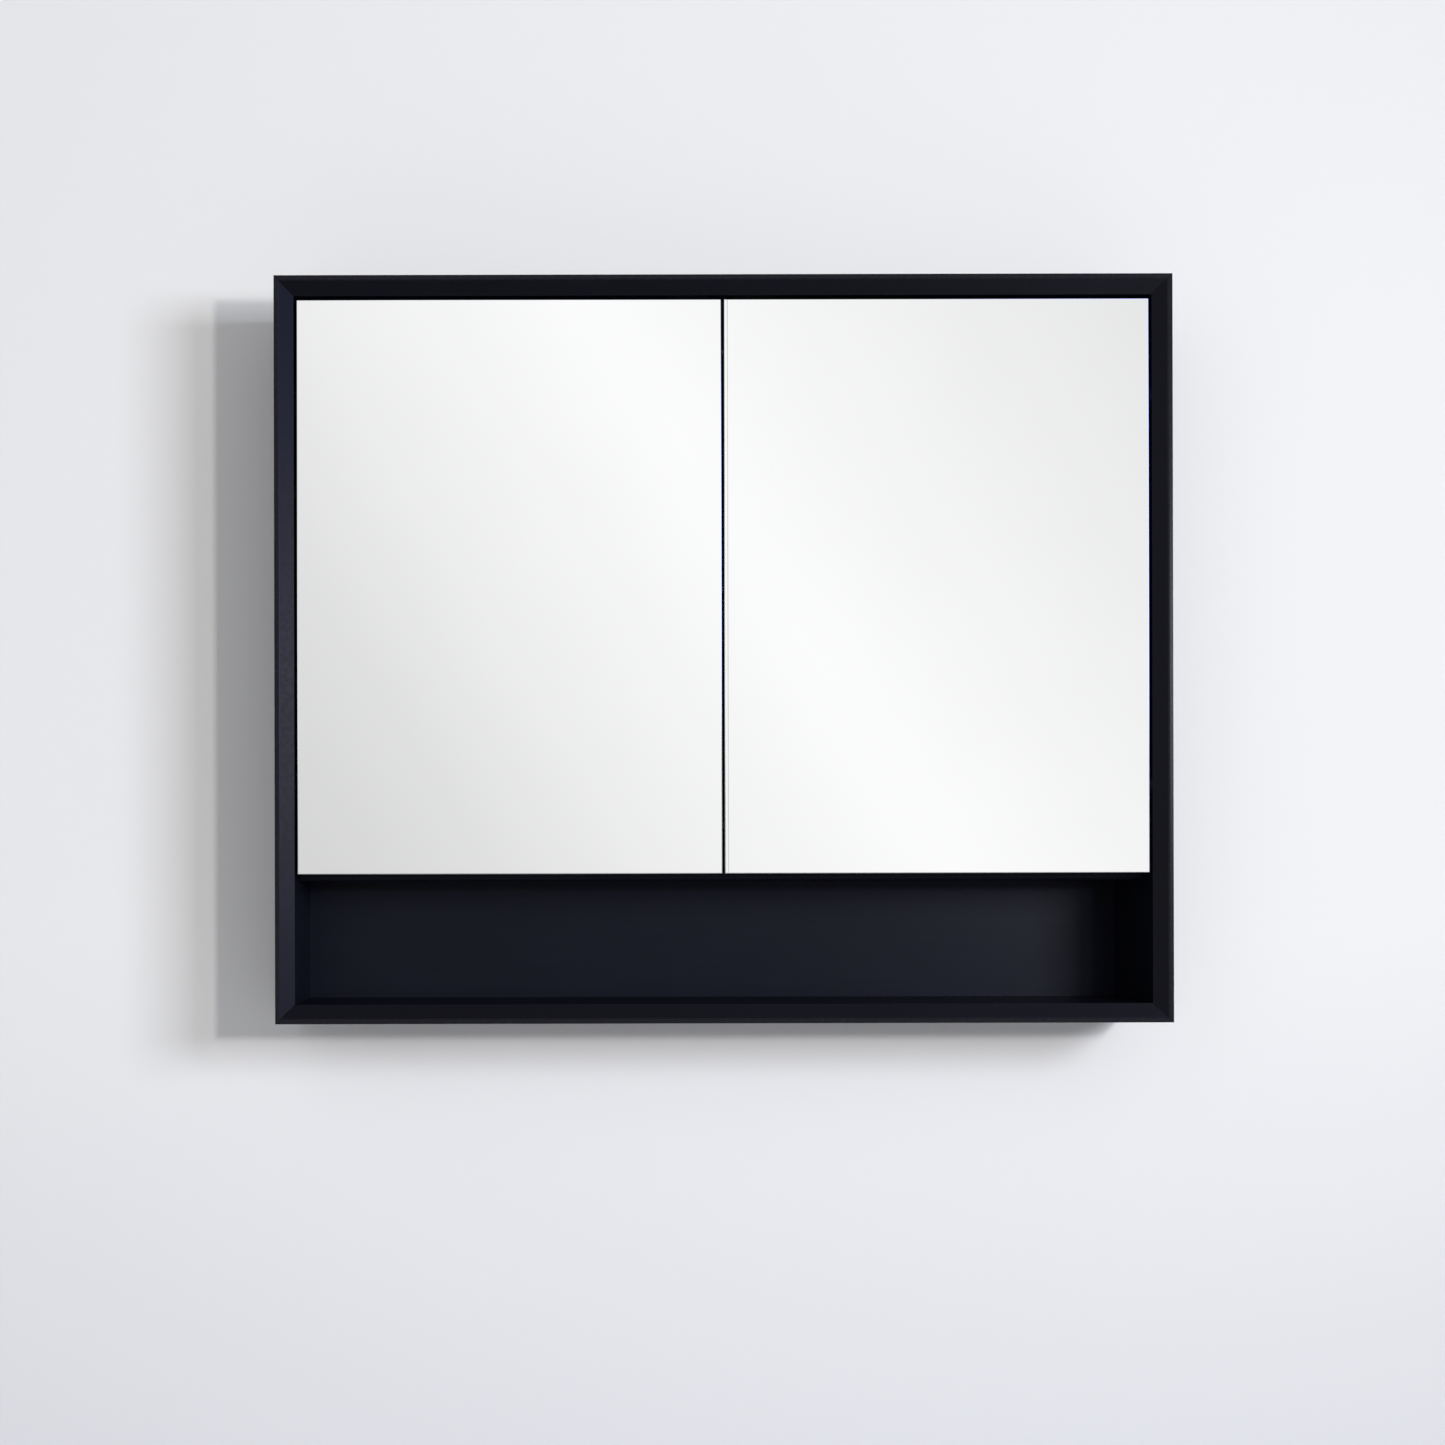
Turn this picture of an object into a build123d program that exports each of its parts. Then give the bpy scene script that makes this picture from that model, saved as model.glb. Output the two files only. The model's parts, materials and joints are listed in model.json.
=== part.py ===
from build123d import *
import os

os.makedirs("parts", exist_ok=True)

# Wall-hung cabinet with two mirrored doors over an open niche.
# Millimetres. X to the right, Y into the wall, Z up. The origin lies on the wall plane, at the
# centre of the four wall-screw holes, so the cabinet fills Y from -DEPTH to 0.

# Carcass
WIDTH = 900
HEIGHT = 750
DEPTH = 150
BOARD = 19
RIM = 4
BEVEL_DEPTH = 6
EDGE_ROUND = 0.7
RIM_ROUND = 6
MITRE_GROOVE = 0.5
NICHE_HEIGHT = 124
SHELF_BOARD = 16
SHELF_SETBACK = 42
SHELF_NOSE_ROUND = 6
DIVIDER_BOARD = 16
DIVIDER_SETBACK = 28.5

# Back
BACK_THICKNESS = 6
RAIL_THICKNESS = 12
HANGING_RAIL_HEIGHT = 80
LOWER_RAIL_HEIGHT = 40
GROOVE_DEPTH = 7
GROOVE_CLEARANCE = 0.1
BACK_PANEL_PLAY = 1
WALL_HOLE_SPACING = 600
WALL_HOLE_RADIUS = 3.25
WALL_DRILL_REACH = 30

# Doors
DOOR_SIDE_GAP = 3
DOOR_CENTRE_GAP = 2.5
DOOR_TOP_GAP = 4
DOOR_LAP = 9
MIRROR_SETBACK = 5.5
MIRROR_THICKNESS = 4
MIRROR_EDGE = 0.9
TAPE_THICKNESS = 1
TAPE_WIDTH = 25
TAPE_INSET = 30
TAPE_STRIPS = 4
DOOR_BOARD = 15
DOOR_BOARD_INSET = 1
DOOR_BOARD_ROUND = 1

# Pivot hinges, measured inwards from the side panel (across) and back from the front (deep)
PIVOT_ACROSS = 19
PIVOT_DEEP = 14.5
HINGE_INSET = 90
PIN_RADIUS = 2
PIN_CLEARANCE = 0.05
PIN_HEAD_RADIUS = 3.2
PIN_HEAD_HEIGHT = 1.2
KNUCKLE_RADIUS = 4.2
ARM_HEIGHT = 12
ARM_THICKNESS = 4
ARM_BEND_RADIUS = 5
ARM_ELBOW_ACROSS = 23.4
ARM_ELBOW_DEEP = 35
ARM_ROOT_DEEP = 46
ARM_PLATE_THICKNESS = 2.5
ARM_PLATE_START = 44
ARM_PLATE_LENGTH = 42
ARM_PLATE_HEIGHT = 40
ARM_SCREW_DEEP = 74
ARM_SCREW_PITCH = 22
LUG_THICKNESS = 2
LUG_GAP = 0.4
LUG_REACH = 29
LEAF_THICKNESS = 2
LEAF_START = 28
LEAF_LENGTH = 38
LEAF_HEIGHT = 44
LEAF_SCREW_ACROSS = 50
LEAF_SCREW_PITCH = 26
NOTCH_ACROSS = 30
NOTCH_HEIGHT = 22
PLATE_ROUND = 3

# Glass shelves, their pins and the rows of pin holes
GLASS_THICKNESS = 5
GLASS_SIDE_GAP = 2
GLASS_BACK_GAP = 2
GLASS_DEPTH = 92
GLASS_EDGE = 0.6
GLASS_LEVELS = {"lower": 349, "upper": 541}
HOLE_PITCH = 32
HOLES_PER_LEVEL = 5
PIN_HOLE_RADIUS = 2.5
PIN_HOLE_DEPTH = 7
PIN_ROW_FRONT = 104
PIN_ROW_SPACING = 64
SHELF_PIN_RADIUS = 2.45
SHELF_PIN_IN_WALL = 6
SHELF_PIN_STUB = 5
PADDLE_LENGTH = 10
PADDLE_WIDTH = 12
PADDLE_THICKNESS = 2

# Magnetic catches and door bumpers
CATCH_LENGTH = 46
CATCH_HEIGHT = 16
CATCH_DEPTH = 14
CATCH_GAP = 0.5
CATCH_FROM_DIVIDER = 4
CATCH_SCREW_SPACING = 36
CATCH_SCREW_LENGTH = 24
CATCH_ROUND = 3
POLE_WIDTH = 3
POLE_CLEARANCE = 0.1
POLE_PITCH = 6
POLE_DEPTH = 10
STRIKE_LENGTH = 36
STRIKE_HEIGHT = 14
STRIKE_THICKNESS = 1.2
STRIKE_DROP = 1
STRIKE_SCREW_SPACING = 26
BUMPER_RADIUS = 3.5
BUMPER_OFFSET = 4.2
BUMPER_GAP = 0.3
BUMPER_ROUND = 1
BUMPER_HEIGHTS = (200, 440, 680)

# Screws, dowels and splines
SCREW_RADIUS = 1.6
SCREW_HEAD_RADIUS = 3.2
SCREW_HEAD_HEIGHT = 1.6
SCREW_LENGTH = 12
SCREW_CLEARANCE = 0.05
SLOT_RADIUS = 1.9
SLOT_WIDTH = 0.7
SLOT_DEPTH = 0.8
DOWEL_RADIUS = 4
DOWEL_LENGTH = 30
DOWEL_IN_PANEL = 12
DOWEL_FRONT = 90
DOWEL_SPACING = 50
DOWEL_CLEARANCE = 0.05
SPLINE_THICKNESS = 4
SPLINE_WIDTH = 15
SPLINE_LENGTH = 90
SPLINE_FROM_CORNER = 11
RAIL_DOWEL_RADIUS = 3

# Heights that follow from the ones above, counted from the cabinet's underside
SHELF_LOW = BOARD + NICHE_HEIGHT
SHELF_HIGH = SHELF_LOW + SHELF_BOARD
CEILING = HEIGHT - BOARD
DOOR_LOW = SHELF_HIGH - DOOR_LAP
DOOR_HIGH = CEILING - DOOR_TOP_GAP
HANGING_RAIL_MIDDLE = CEILING - HANGING_RAIL_HEIGHT / 2
LOWER_RAIL_MIDDLE = SHELF_HIGH + LOWER_RAIL_HEIGHT / 2
ORIGIN_HEIGHT = (HANGING_RAIL_MIDDLE + LOWER_RAIL_MIDDLE) / 2
HINGE_LEVELS = {"lower": DOOR_LOW + HINGE_INSET, "upper": DOOR_HIGH - HINGE_INSET}

# Places that follow from them, in the cabinet's frame
INNER_HALF = WIDTH / 2 - BOARD
BACK_REAR = -RAIL_THICKNESS
BACK_FRONT = BACK_REAR - BACK_THICKNESS
BOTTOM = -ORIGIN_HEIGHT
TOP = BOTTOM + HEIGHT
MIRROR_BACK = MIRROR_SETBACK + MIRROR_THICKNESS
DOOR_BOARD_FRONT = MIRROR_BACK + TAPE_THICKNESS
DOOR_BACK = DOOR_BOARD_FRONT + DOOR_BOARD
SIDES = {"left": -1, "right": 1}


def up(height):
    """Z of a height counted from the cabinet's underside."""
    return BOTTOM + height


def back(deep):
    """Y of a distance counted back from the front plane."""
    return -DEPTH + deep


def inwards(side, across):
    """X of a distance counted inwards from the inner face of a side panel."""
    return side * (INNER_HALF - across)


def slab(x_span, y_span, z_span, mode=Mode.ADD):
    """A block between two limits on each axis, in the open part."""
    middle = [(low + high) / 2 for low, high in (x_span, y_span, z_span)]
    size = [abs(high - low) for low, high in (x_span, y_span, z_span)]
    with Locations(tuple(middle)):
        Box(*size, mode=mode)


def rod(start, direction, radius, length, mode=Mode.ADD):
    """A round bar from a point along a direction, in the open part."""
    with Locations(Plane(origin=start, z_dir=direction)):
        Cylinder(radius, length, align=(Align.CENTER, Align.CENTER, Align.MIN), mode=mode)


def countersink(point, direction):
    """A screw hole with a conical seat. The direction points into the material."""
    reach = SCREW_LENGTH + SCREW_CLEARANCE
    rod(point, direction, SCREW_RADIUS + SCREW_CLEARANCE, reach, Mode.SUBTRACT)
    with Locations(Plane(origin=point, z_dir=direction)):
        Cone(
            SCREW_HEAD_RADIUS + SCREW_CLEARANCE,
            SCREW_RADIUS + SCREW_CLEARANCE,
            SCREW_HEAD_HEIGHT,
            align=(Align.CENTER, Align.CENTER, Align.MIN),
            mode=Mode.SUBTRACT,
        )


def screw(point, direction):
    """A countersunk screw with a cross slot, head flush with the point."""
    with Locations(Plane(origin=point, z_dir=direction)):
        Cone(
            SCREW_HEAD_RADIUS,
            SCREW_RADIUS,
            SCREW_HEAD_HEIGHT,
            align=(Align.CENTER, Align.CENTER, Align.MIN),
        )
        Cylinder(SCREW_RADIUS, SCREW_LENGTH, align=(Align.CENTER, Align.CENTER, Align.MIN))
        Box(2 * SLOT_RADIUS, SLOT_WIDTH, 2 * SLOT_DEPTH, mode=Mode.SUBTRACT)
        Box(SLOT_WIDTH, 2 * SLOT_RADIUS, 2 * SLOT_DEPTH, mode=Mode.SUBTRACT)


def finish(piece, name):
    """Names a finished piece and writes it."""
    piece.part.label = name
    export_step(piece.part, f"parts/{name}.step")


def hinge_points(side, deep, across, pitch, level):
    """The two screw places of one hinge plate, one above the other."""
    x = inwards(side, across)
    return [(x, back(deep), up(level) + shift) for shift in (-pitch / 2, pitch / 2)]


def arm_screws(side, level):
    return hinge_points(side, ARM_SCREW_DEEP, ARM_PLATE_THICKNESS, ARM_SCREW_PITCH, level)


def leaf_screws(side, level):
    rear = DOOR_BACK + LEAF_THICKNESS
    return hinge_points(side, rear, LEAF_SCREW_ACROSS, LEAF_SCREW_PITCH, level)


def pin_hole_heights():
    """Heights of the pin holes in one row: a short run of holes about each shelf level."""
    reach = HOLES_PER_LEVEL // 2
    steps = range(-reach, reach + 1)
    seat = PIN_HOLE_RADIUS
    return [up(level) - seat + step * HOLE_PITCH for level in GLASS_LEVELS.values() for step in steps]


def pin_columns():
    """Y of the front and rear rows of pin holes."""
    return (-PIN_ROW_FRONT, -PIN_ROW_FRONT + PIN_ROW_SPACING)


def catch_middle(side):
    """X of the middle of a magnetic catch and its strike plate."""
    return side * (DIVIDER_BOARD / 2 + CATCH_FROM_DIVIDER + CATCH_LENGTH / 2)


def catch_screws(side):
    deep = back(DOOR_BACK + STRIKE_THICKNESS + CATCH_GAP + CATCH_DEPTH / 2)
    height = up(CEILING - CATCH_HEIGHT)
    reach = CATCH_SCREW_SPACING / 2
    return [(catch_middle(side) + shift, deep, height) for shift in (-reach, reach)]


def strike_middle():
    return up(CEILING - CATCH_HEIGHT / 2) - STRIKE_HEIGHT / 2 + STRIKE_DROP


def strike_screws(side):
    rear = back(DOOR_BACK + STRIKE_THICKNESS)
    reach = STRIKE_SCREW_SPACING / 2
    return [(catch_middle(side) + shift, rear, strike_middle()) for shift in (-reach, reach)]


def spline_planes():
    """One plane per mitred corner, X across the joint and Z from front to back."""
    planes = []
    for x_sign in (-1, 1):
        for z_edge, z_sign in ((BOTTOM, -1), (TOP, 1)):
            middle_x = x_sign * (WIDTH / 2 - SPLINE_FROM_CORNER)
            middle_z = z_edge - z_sign * SPLINE_FROM_CORNER
            start = (middle_x, back(BOARD), middle_z)
            planes.append(Plane(origin=start, x_dir=(x_sign, 0, -z_sign), z_dir=(0, 1, 0)))
    return planes


def spline_slots():
    for plane in spline_planes():
        with Locations(plane):
            Box(
                SPLINE_WIDTH + GROOVE_CLEARANCE,
                SPLINE_THICKNESS + GROOVE_CLEARANCE,
                SPLINE_LENGTH,
                align=(Align.CENTER, Align.CENTER, Align.MIN),
                mode=Mode.SUBTRACT,
            )


def mitre_grooves():
    """Fine V grooves along the corner joints, on the rim and on the bevel."""
    for x_sign in (-1, 1):
        for z_edge, z_sign in ((BOTTOM, -1), (TOP, 1)):
            across = Vector(x_sign, 0, -z_sign).normalized()
            corner = Vector(x_sign * WIDTH / 2, -DEPTH, z_edge)
            crease = corner - Vector(x_sign * RIM, 0, z_sign * RIM)
            foot = corner - Vector(x_sign * BOARD, -BEVEL_DEPTH, z_sign * BOARD)
            for start, end in ((corner, crease), (crease, foot)):
                along = (end - start).normalized()
                turned = across + across.cross(along)
                with Locations(Plane(origin=start, x_dir=turned, z_dir=along)):
                    Box(
                        MITRE_GROOVE,
                        MITRE_GROOVE,
                        (end - start).length,
                        align=(Align.CENTER, Align.CENTER, Align.MIN),
                        mode=Mode.SUBTRACT,
                    )


def back_groove():
    """The groove that holds the back panel, cut all round the inside of the carcass."""
    half = INNER_HALF + GROOVE_DEPTH
    slab(
        (-half, half),
        (BACK_FRONT - GROOVE_CLEARANCE, BACK_REAR + GROOVE_CLEARANCE),
        (up(BOARD - GROOVE_DEPTH), up(CEILING + GROOVE_DEPTH)),
        Mode.SUBTRACT,
    )


def dowel_columns():
    """Y of the front and rear dowels."""
    return (-DOWEL_FRONT, -DOWEL_FRONT + DOWEL_SPACING)


def shelf_dowel_starts(side):
    """Outer ends of the dowels between a side panel and the fixed shelf."""
    x = inwards(side, -DOWEL_IN_PANEL)
    return [(x, y, up(SHELF_LOW + SHELF_BOARD / 2)) for y in dowel_columns()]


def divider_dowel_starts():
    """Outer ends and directions of the dowels at the top and foot of the divider."""
    starts = []
    for y in dowel_columns():
        starts.append(((0, y, up(CEILING + DOWEL_IN_PANEL)), (0, 0, -1)))
        starts.append(((0, y, up(SHELF_HIGH - DOWEL_IN_PANEL)), (0, 0, 1)))
    return starts


def rail_dowel_starts(side):
    """Outer ends of the dowels between a side panel and the two rails."""
    x = inwards(side, -DOWEL_IN_PANEL)
    y = -RAIL_THICKNESS / 2
    spots = []
    for middle, height in (
        (HANGING_RAIL_MIDDLE, HANGING_RAIL_HEIGHT),
        (LOWER_RAIL_MIDDLE, LOWER_RAIL_HEIGHT),
    ):
        for shift in (-height / 4, height / 4):
            spots.append((x, y, up(middle) + shift))
    return spots


def dowel_hole(start, direction, radius):
    length = DOWEL_LENGTH + DOWEL_CLEARANCE
    rod(start, direction, radius + DOWEL_CLEARANCE, length, Mode.SUBTRACT)


# Side panels: the profile seen from above, cut to mitres at both ends
for side_name, side in SIDES.items():
    outer = side * WIDTH / 2
    inner = side * INNER_HALF
    with BuildPart() as side_panel:
        with BuildSketch(Plane.XY.offset(BOTTOM)):
            with BuildLine():
                Polyline(
                    (outer, 0),
                    (outer, -DEPTH),
                    (outer - side * RIM, -DEPTH),
                    (inner, -DEPTH + BEVEL_DEPTH),
                    (inner, 0),
                    close=True,
                )
            make_face()
            crease = vertices().sort_by_distance((outer - side * RIM, -DEPTH, BOTTOM))[0]
            arris = vertices().sort_by_distance((outer, -DEPTH, BOTTOM))[0]
            inner_arris = vertices().sort_by_distance((inner, -DEPTH + BEVEL_DEPTH, BOTTOM))[0]
            fillet(crease, RIM_ROUND)
            fillet([arris, inner_arris], EDGE_ROUND)
        extrude(amount=HEIGHT)
        split(bisect_by=Plane(origin=(outer, 0, TOP), z_dir=(side, 0, -1)), keep=Keep.TOP)
        split(bisect_by=Plane(origin=(outer, 0, BOTTOM), z_dir=(side, 0, 1)), keep=Keep.TOP)
        back_groove()
        spline_slots()
        mitre_grooves()
        for start in shelf_dowel_starts(side):
            dowel_hole(start, (-side, 0, 0), DOWEL_RADIUS)
        for start in rail_dowel_starts(side):
            dowel_hole(start, (-side, 0, 0), RAIL_DOWEL_RADIUS)
        for y in pin_columns():
            for z in pin_hole_heights():
                rod((inner, y, z), (side, 0, 0), PIN_HOLE_RADIUS, PIN_HOLE_DEPTH, Mode.SUBTRACT)
        for level in HINGE_LEVELS.values():
            for point in arm_screws(side, level):
                countersink(point, (side, 0, 0))
    finish(side_panel, f"{side_name}_side_panel")

# Top and bottom panels: the profile seen from the side, cut to mitres at both ends
for panel_name, edge, z_sign in (("top_panel", TOP, 1), ("bottom_panel", BOTTOM, -1)):
    face = edge - z_sign * BOARD
    with BuildPart() as level_panel:
        with BuildSketch(Plane.YZ):
            with BuildLine():
                Polyline(
                    (0, edge),
                    (-DEPTH, edge),
                    (-DEPTH, edge - z_sign * RIM),
                    (-DEPTH + BEVEL_DEPTH, face),
                    (0, face),
                    close=True,
                )
            make_face()
            crease = vertices().sort_by_distance((0, -DEPTH, edge - z_sign * RIM))[0]
            arris = vertices().sort_by_distance((0, -DEPTH, edge))[0]
            inner_arris = vertices().sort_by_distance((0, -DEPTH + BEVEL_DEPTH, face))[0]
            fillet(crease, RIM_ROUND)
            fillet([arris, inner_arris], EDGE_ROUND)
        extrude(amount=WIDTH / 2, both=True)
        for side in SIDES.values():
            mitre = Plane(origin=(side * WIDTH / 2, 0, edge), z_dir=(-side, 0, z_sign))
            split(bisect_by=mitre, keep=Keep.TOP)
        back_groove()
        spline_slots()
        mitre_grooves()
        if panel_name == "top_panel":
            for start, direction in divider_dowel_starts():
                dowel_hole(start, direction, DOWEL_RADIUS)
            for side in SIDES.values():
                for point in catch_screws(side):
                    reach = CATCH_SCREW_LENGTH + SCREW_CLEARANCE
                    rod(point, (0, 0, 1), SCREW_RADIUS + SCREW_CLEARANCE, reach, Mode.SUBTRACT)
    finish(level_panel, panel_name)

# Fixed shelf between the niche and the doors, set back to leave a finger gap under the doors
with BuildPart() as fixed_shelf:
    slab((-INNER_HALF, INNER_HALF), (back(SHELF_SETBACK), BACK_FRONT), (up(SHELF_LOW), up(SHELF_HIGH)))
    fillet(faces().sort_by(Axis.Y)[0].edges().filter_by(Axis.X), SHELF_NOSE_ROUND)
    for side in SIDES.values():
        for start in shelf_dowel_starts(side):
            dowel_hole(start, (-side, 0, 0), DOWEL_RADIUS)
    for start, direction in divider_dowel_starts():
        dowel_hole(start, direction, DOWEL_RADIUS)
finish(fixed_shelf, "fixed_shelf")

# Upright divider behind the joint of the two doors
with BuildPart() as centre_divider:
    half = DIVIDER_BOARD / 2
    slab((-half, half), (back(DIVIDER_SETBACK), BACK_FRONT), (up(SHELF_HIGH), up(CEILING)))
    for start, direction in divider_dowel_starts():
        dowel_hole(start, direction, DOWEL_RADIUS)
    for side in SIDES.values():
        for y in pin_columns():
            for z in pin_hole_heights():
                start = (side * half, y, z)
                rod(start, (-side, 0, 0), PIN_HOLE_RADIUS, PIN_HOLE_DEPTH, Mode.SUBTRACT)
finish(centre_divider, "centre_divider")

# Back panel, let into the grooves, with clearance holes for the wall screws
WALL_HOLES = [
    (x, 0, up(middle))
    for x in (-WALL_HOLE_SPACING / 2, WALL_HOLE_SPACING / 2)
    for middle in (HANGING_RAIL_MIDDLE, LOWER_RAIL_MIDDLE)
]
with BuildPart() as back_panel:
    tongue = GROOVE_DEPTH - BACK_PANEL_PLAY
    half = INNER_HALF + tongue
    slab((-half, half), (BACK_FRONT, BACK_REAR), (up(BOARD - tongue), up(CEILING + tongue)))
    for point in WALL_HOLES:
        rod(point, (0, -1, 0), WALL_HOLE_RADIUS, WALL_DRILL_REACH, Mode.SUBTRACT)
finish(back_panel, "back_panel")

# Rails behind the back panel. The four wall screws pass through the panel and both rails.
for rail_name, middle, height in (
    ("hanging_rail", HANGING_RAIL_MIDDLE, HANGING_RAIL_HEIGHT),
    ("lower_rail", LOWER_RAIL_MIDDLE, LOWER_RAIL_HEIGHT),
):
    with BuildPart() as rail:
        slab((-INNER_HALF, INNER_HALF), (BACK_REAR, 0), (up(middle - height / 2), up(middle + height / 2)))
        for point in WALL_HOLES:
            rod(point, (0, -1, 0), WALL_HOLE_RADIUS, WALL_DRILL_REACH, Mode.SUBTRACT)
        for side in SIDES.values():
            for start in rail_dowel_starts(side):
                dowel_hole(start, (-side, 0, 0), RAIL_DOWEL_RADIUS)
    finish(rail, rail_name)

# Joinery hidden in the boards
with BuildPart() as mitre_splines:
    for plane in spline_planes():
        with Locations(plane):
            Box(
                SPLINE_WIDTH,
                SPLINE_THICKNESS,
                SPLINE_LENGTH,
                align=(Align.CENTER, Align.CENTER, Align.MIN),
            )
finish(mitre_splines, "mitre_splines")

with BuildPart() as carcass_dowels:
    for side in SIDES.values():
        for start in shelf_dowel_starts(side):
            rod(start, (-side, 0, 0), DOWEL_RADIUS, DOWEL_LENGTH)
    for start, direction in divider_dowel_starts():
        rod(start, direction, DOWEL_RADIUS, DOWEL_LENGTH)
finish(carcass_dowels, "carcass_dowels")

with BuildPart() as rail_dowels:
    for side in SIDES.values():
        for start in rail_dowel_starts(side):
            rod(start, (-side, 0, 0), RAIL_DOWEL_RADIUS, DOWEL_LENGTH)
finish(rail_dowels, "rail_dowels")

# Glass shelves and the pins that carry them
for side_name, side in SIDES.items():
    for level_name, level in GLASS_LEVELS.items():
        with BuildPart() as glass_shelf:
            slab(
                (side * (DIVIDER_BOARD / 2 + GLASS_SIDE_GAP), inwards(side, GLASS_SIDE_GAP)),
                (BACK_FRONT - GLASS_BACK_GAP - GLASS_DEPTH, BACK_FRONT - GLASS_BACK_GAP),
                (up(level), up(level) + GLASS_THICKNESS),
            )
            chamfer(edges(), GLASS_EDGE)
        finish(glass_shelf, f"{side_name}_{level_name}_glass_shelf")

        with BuildPart() as shelf_pins:
            for wall, direction in ((INNER_HALF, -1), (DIVIDER_BOARD / 2, 1)):
                for y in pin_columns():
                    seat = (side * wall, y, up(level) - PIN_HOLE_RADIUS)
                    rod(seat, (-side * direction, 0, 0), SHELF_PIN_RADIUS, SHELF_PIN_IN_WALL)
                    rod(seat, (side * direction, 0, 0), SHELF_PIN_RADIUS, SHELF_PIN_STUB)
                    slab(
                        (side * wall, side * (wall + direction * PADDLE_LENGTH)),
                        (y - PADDLE_WIDTH / 2, y + PADDLE_WIDTH / 2),
                        (up(level) - PADDLE_THICKNESS, up(level)),
                    )
        finish(shelf_pins, f"{side_name}_{level_name}_shelf_pins")

# Pivot hinges: a cranked arm on the side panel and a lugged leaf on the door, joined by a pin
ARM_OUTLINE = (
    (PIVOT_ACROSS, PIVOT_DEEP),
    (ARM_ELBOW_ACROSS, ARM_ELBOW_DEEP),
    (ARM_PLATE_THICKNESS / 2, ARM_ROOT_DEEP),
)
for side_name, side in SIDES.items():
    pivot_x = inwards(side, PIVOT_ACROSS)
    pivot_y = back(PIVOT_DEEP)
    for level_name, level in HINGE_LEVELS.items():
        middle = up(level)
        arm_half = ARM_HEIGHT / 2
        with BuildPart() as hinge_arm:
            with BuildSketch(Plane.XY.offset(middle - arm_half)) as arm_sketch:
                with BuildLine():
                    FilletPolyline(
                        *[(inwards(side, across), back(deep)) for across, deep in ARM_OUTLINE],
                        radius=ARM_BEND_RADIUS,
                    )
                trace(line_width=ARM_THICKNESS)
                with Locations((pivot_x, pivot_y)):
                    Circle(KNUCKLE_RADIUS)
                    Circle(PIN_RADIUS + PIN_CLEARANCE, mode=Mode.SUBTRACT)
            extrude(amount=ARM_HEIGHT)
            plate_middle = (inwards(side, 0), back(ARM_PLATE_START + ARM_PLATE_LENGTH / 2), middle)
            with BuildSketch(Plane(origin=plate_middle, x_dir=(0, 1, 0), z_dir=(-side, 0, 0))):
                RectangleRounded(ARM_PLATE_LENGTH, ARM_PLATE_HEIGHT, PLATE_ROUND)
            extrude(amount=ARM_PLATE_THICKNESS)
            behind_face = Plane(origin=(inwards(side, 0), 0, 0), z_dir=(-side, 0, 0))
            split(bisect_by=behind_face, keep=Keep.TOP)
            for point in arm_screws(side, level):
                countersink(point, (side, 0, 0))
        finish(hinge_arm, f"{side_name}_{level_name}_hinge_arm")

        with BuildPart() as hinge_leaf:
            for lug_low in (middle - arm_half - LUG_GAP - LUG_THICKNESS, middle + arm_half + LUG_GAP):
                with BuildSketch(Plane.XY.offset(lug_low)):
                    with BuildLine():
                        Polyline(
                            (pivot_x, pivot_y - KNUCKLE_RADIUS),
                            (inwards(side, LUG_REACH), back(DOOR_BACK - KNUCKLE_RADIUS)),
                            (inwards(side, LUG_REACH), back(DOOR_BACK + LEAF_THICKNESS)),
                            (inwards(side, LEAF_START), back(DOOR_BACK + LEAF_THICKNESS)),
                            (inwards(side, PIVOT_ACROSS - KNUCKLE_RADIUS), pivot_y),
                            close=True,
                        )
                    make_face()
                    with Locations((pivot_x, pivot_y)):
                        Circle(KNUCKLE_RADIUS)
                        Circle(PIN_RADIUS + PIN_CLEARANCE, mode=Mode.SUBTRACT)
                extrude(amount=LUG_THICKNESS)
            leaf_middle = (inwards(side, LEAF_START + LEAF_LENGTH / 2), back(DOOR_BACK), middle)
            with BuildSketch(Plane(origin=leaf_middle, x_dir=(1, 0, 0), z_dir=(0, 1, 0))):
                RectangleRounded(LEAF_LENGTH, LEAF_HEIGHT, PLATE_ROUND)
            extrude(amount=LEAF_THICKNESS)
            for point in leaf_screws(side, level):
                countersink(point, (0, -1, 0))
        finish(hinge_leaf, f"{side_name}_{level_name}_hinge_leaf")

        with BuildPart() as hinge_pin:
            reach = arm_half + LUG_GAP + LUG_THICKNESS
            rod((pivot_x, pivot_y, middle - reach), (0, 0, 1), PIN_RADIUS, 2 * reach)
            rod((pivot_x, pivot_y, middle + reach), (0, 0, 1), PIN_HEAD_RADIUS, PIN_HEAD_HEIGHT)
        finish(hinge_pin, f"{side_name}_{level_name}_hinge_pin")

with BuildPart() as hinge_arm_screws:
    for side in SIDES.values():
        for level in HINGE_LEVELS.values():
            for point in arm_screws(side, level):
                screw(point, (side, 0, 0))
finish(hinge_arm_screws, "hinge_arm_screws")

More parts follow.
